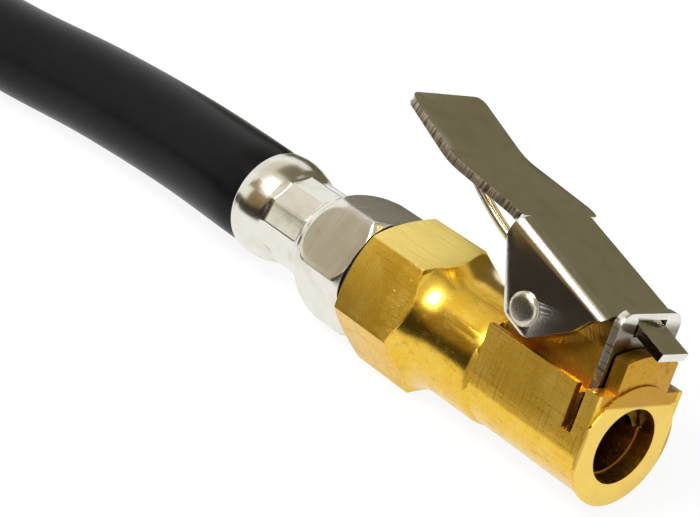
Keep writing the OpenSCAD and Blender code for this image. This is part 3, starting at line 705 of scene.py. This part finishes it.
# the studio: the floor's height, the share of glow in it and the world, and the tone of the ceiling
# that metal mirrors, from and to heights in its sky, with the side where it is darker
studio = {"floor": -8.1, "floorSize": 3.0, "floorTone": (0.85, 0.85, 0.85), "glow": 0.9, "world": 0.8,
          "ceiling": (0.80, 0.75, 0.64), "farCeiling": (0.20, 0.18, 0.11), "ceilingFrom": (0.58, 0.74),
          "farSide": (-0.12, 0.12), "farSideAcross": (-0.5, -0.4)}
key = {"azimuth": -112, "elevation": 57, "distance": 550, "size": 180, "power": 2.8}
# upright cards, in millimetres: each stands at y from and to x and z, and has a lower and an upper tone
cardTone = {"dark": (0.03, 0.022, 0.014), "warm": (0.25, 0.17, 0.06), "bright": (0.95, 0.95, 0.85),
            "olive": (0.175, 0.155, 0.09), "dim": (0.12, 0.105, 0.065)}
cards = {"leftCard": (-50, (-125, -54), (-8, 80), "dark", "warm"),
         "earCard": (-50, (-54, 15), (-8, 42), "dark", "warm"),
         "hoseCard": (-49.5, (-125, -90), (12, 40), "bright", "bright"),
         "backCard": (80, (-90, 70), (-8, 96), "olive", "olive"),
         "farCard": (80.5, (-175, -90), (-8, 42), "dim", "dim")}
cardEdge = {"slope": 0.34, "height": 34, "lowest": 10, "soft": 4}


def makeCard(name):
    # a card that the metal mirrors; nothing else sees it. Its upper tone starts lower towards the hose
    y, x, z, low, high = cards[name]
    mesh = bpy.data.meshes.new(name)
    mesh.from_pydata([(x[i] * mm, y * mm, z[k] * mm) for i, k in ((0, 0), (1, 0), (1, 1), (0, 1))], [],
                     [(0, 1, 2, 3)])
    card = bpy.data.objects.new(name, mesh)
    bpy.context.scene.collection.objects.link(card)
    m = newFinish(name)
    along, _, up = m.split(m.place())
    edge = m.highest(along * cardEdge["slope"] + cardEdge["height"], cardEdge["lowest"])
    upper = m.rise(up - edge, -cardEdge["soft"], cardEdge["soft"])
    glow = m.node("ShaderNodeEmission", {}, {"Color": m.mix(upper, cardTone[low], cardTone[high])})
    m.feed(m.tree.nodes["Material Output"].inputs["Surface"], glow)
    mesh.materials.append(m.owner)
    card.visible_camera = card.visible_diffuse = card.visible_shadow = card.visible_transmission = False


def seenDirectly(m):
    # 1 for the rays that show the studio itself: the camera's, mirrored ones and those through glass
    rays = m.node("ShaderNodeLightPath", {}, {}).socket.node.outputs
    wanted = ("Is Camera Ray", "Is Glossy Ray", "Is Transmission Ray")
    return m.highest(*[Level(m, rays[name]) for name in wanted])


def makeFloor():
    # a wide sheet that shows white by itself and keeps the object's shadow
    size, low = studio["floorSize"], studio["floor"] * mm
    mesh = bpy.data.meshes.new("floor")
    mesh.from_pydata([(-size, -size, low), (size, -size, low), (size, size, low), (-size, size, low)], [],
                     [(0, 1, 2, 3)])
    floor = bpy.data.objects.new("floor", mesh)
    bpy.context.scene.collection.objects.link(floor)
    m = newFinish("floor")
    m.finish(studio["floorTone"], 0.9, 0.0)
    glow = m.node("ShaderNodeEmission", {}, {"Color": (1.0, 1.0, 1.0)})
    shader = Level(m, m.tree.nodes["Principled BSDF"].outputs[0])
    mixed = m.node("ShaderNodeMixShader", {}, {0: seenDirectly(m) * studio["glow"], 1: shader, 2: glow})
    m.feed(m.tree.nodes["Material Output"].inputs["Surface"], mixed)
    mesh.materials.append(m.owner)


def makeWorld():
    # white all round, with a dimmer ceiling for mirrored rays, darkest over the far side
    world = bpy.data.worlds.new("studio")
    bpy.context.scene.world = world
    w = Nodes(world)
    rays = w.node("ShaderNodeLightPath", {}, {}).socket.node.outputs
    across, along, up = w.split(w.node("ShaderNodeTexCoord", {}, {}, "Generated"))
    mirrored = w.rise(up, *studio["ceilingFrom"]) * Level(w, rays["Is Glossy Ray"])
    farSide = w.rise(along, *studio["farSide"]) * w.rise(across, *studio["farSideAcross"])
    overhead = w.mix(farSide, studio["ceiling"], studio["farCeiling"])
    w.feed(w.tree.nodes["Background"].inputs["Color"], w.mix(mirrored, (1.0, 1.0, 1.0), overhead))
    strength = seenDirectly(w) * (1 - studio["world"]) + studio["world"]
    w.feed(w.tree.nodes["Background"].inputs["Strength"], strength)


def makeKey():
    # one soft square lamp, high over the near side
    turn, rise = math.radians(key["azimuth"]), math.radians(key["elevation"])
    spin = Matrix.Rotation(turn, 4, "Z") @ Matrix.Rotation(-rise, 4, "Y")
    toward = (spin @ Matrix.Translation((1, 0, 0))).translation
    lamp = bpy.data.lights.new("key", "AREA")
    lamp.shape, lamp.size, lamp.energy = "SQUARE", key["size"] * mm, key["power"]
    holder = bpy.data.objects.new("key", lamp)
    bpy.context.scene.collection.objects.link(holder)
    facing = toward.to_track_quat("Z", "Y").to_matrix().to_4x4()
    holder.matrix_world = Matrix.Translation(toward * key["distance"] * mm) @ facing


for name in cards:
    makeCard(name)
makeFloor()
makeWorld()
makeKey()
bpy.context.scene.view_settings.view_transform = "Standard"
print("studio made")
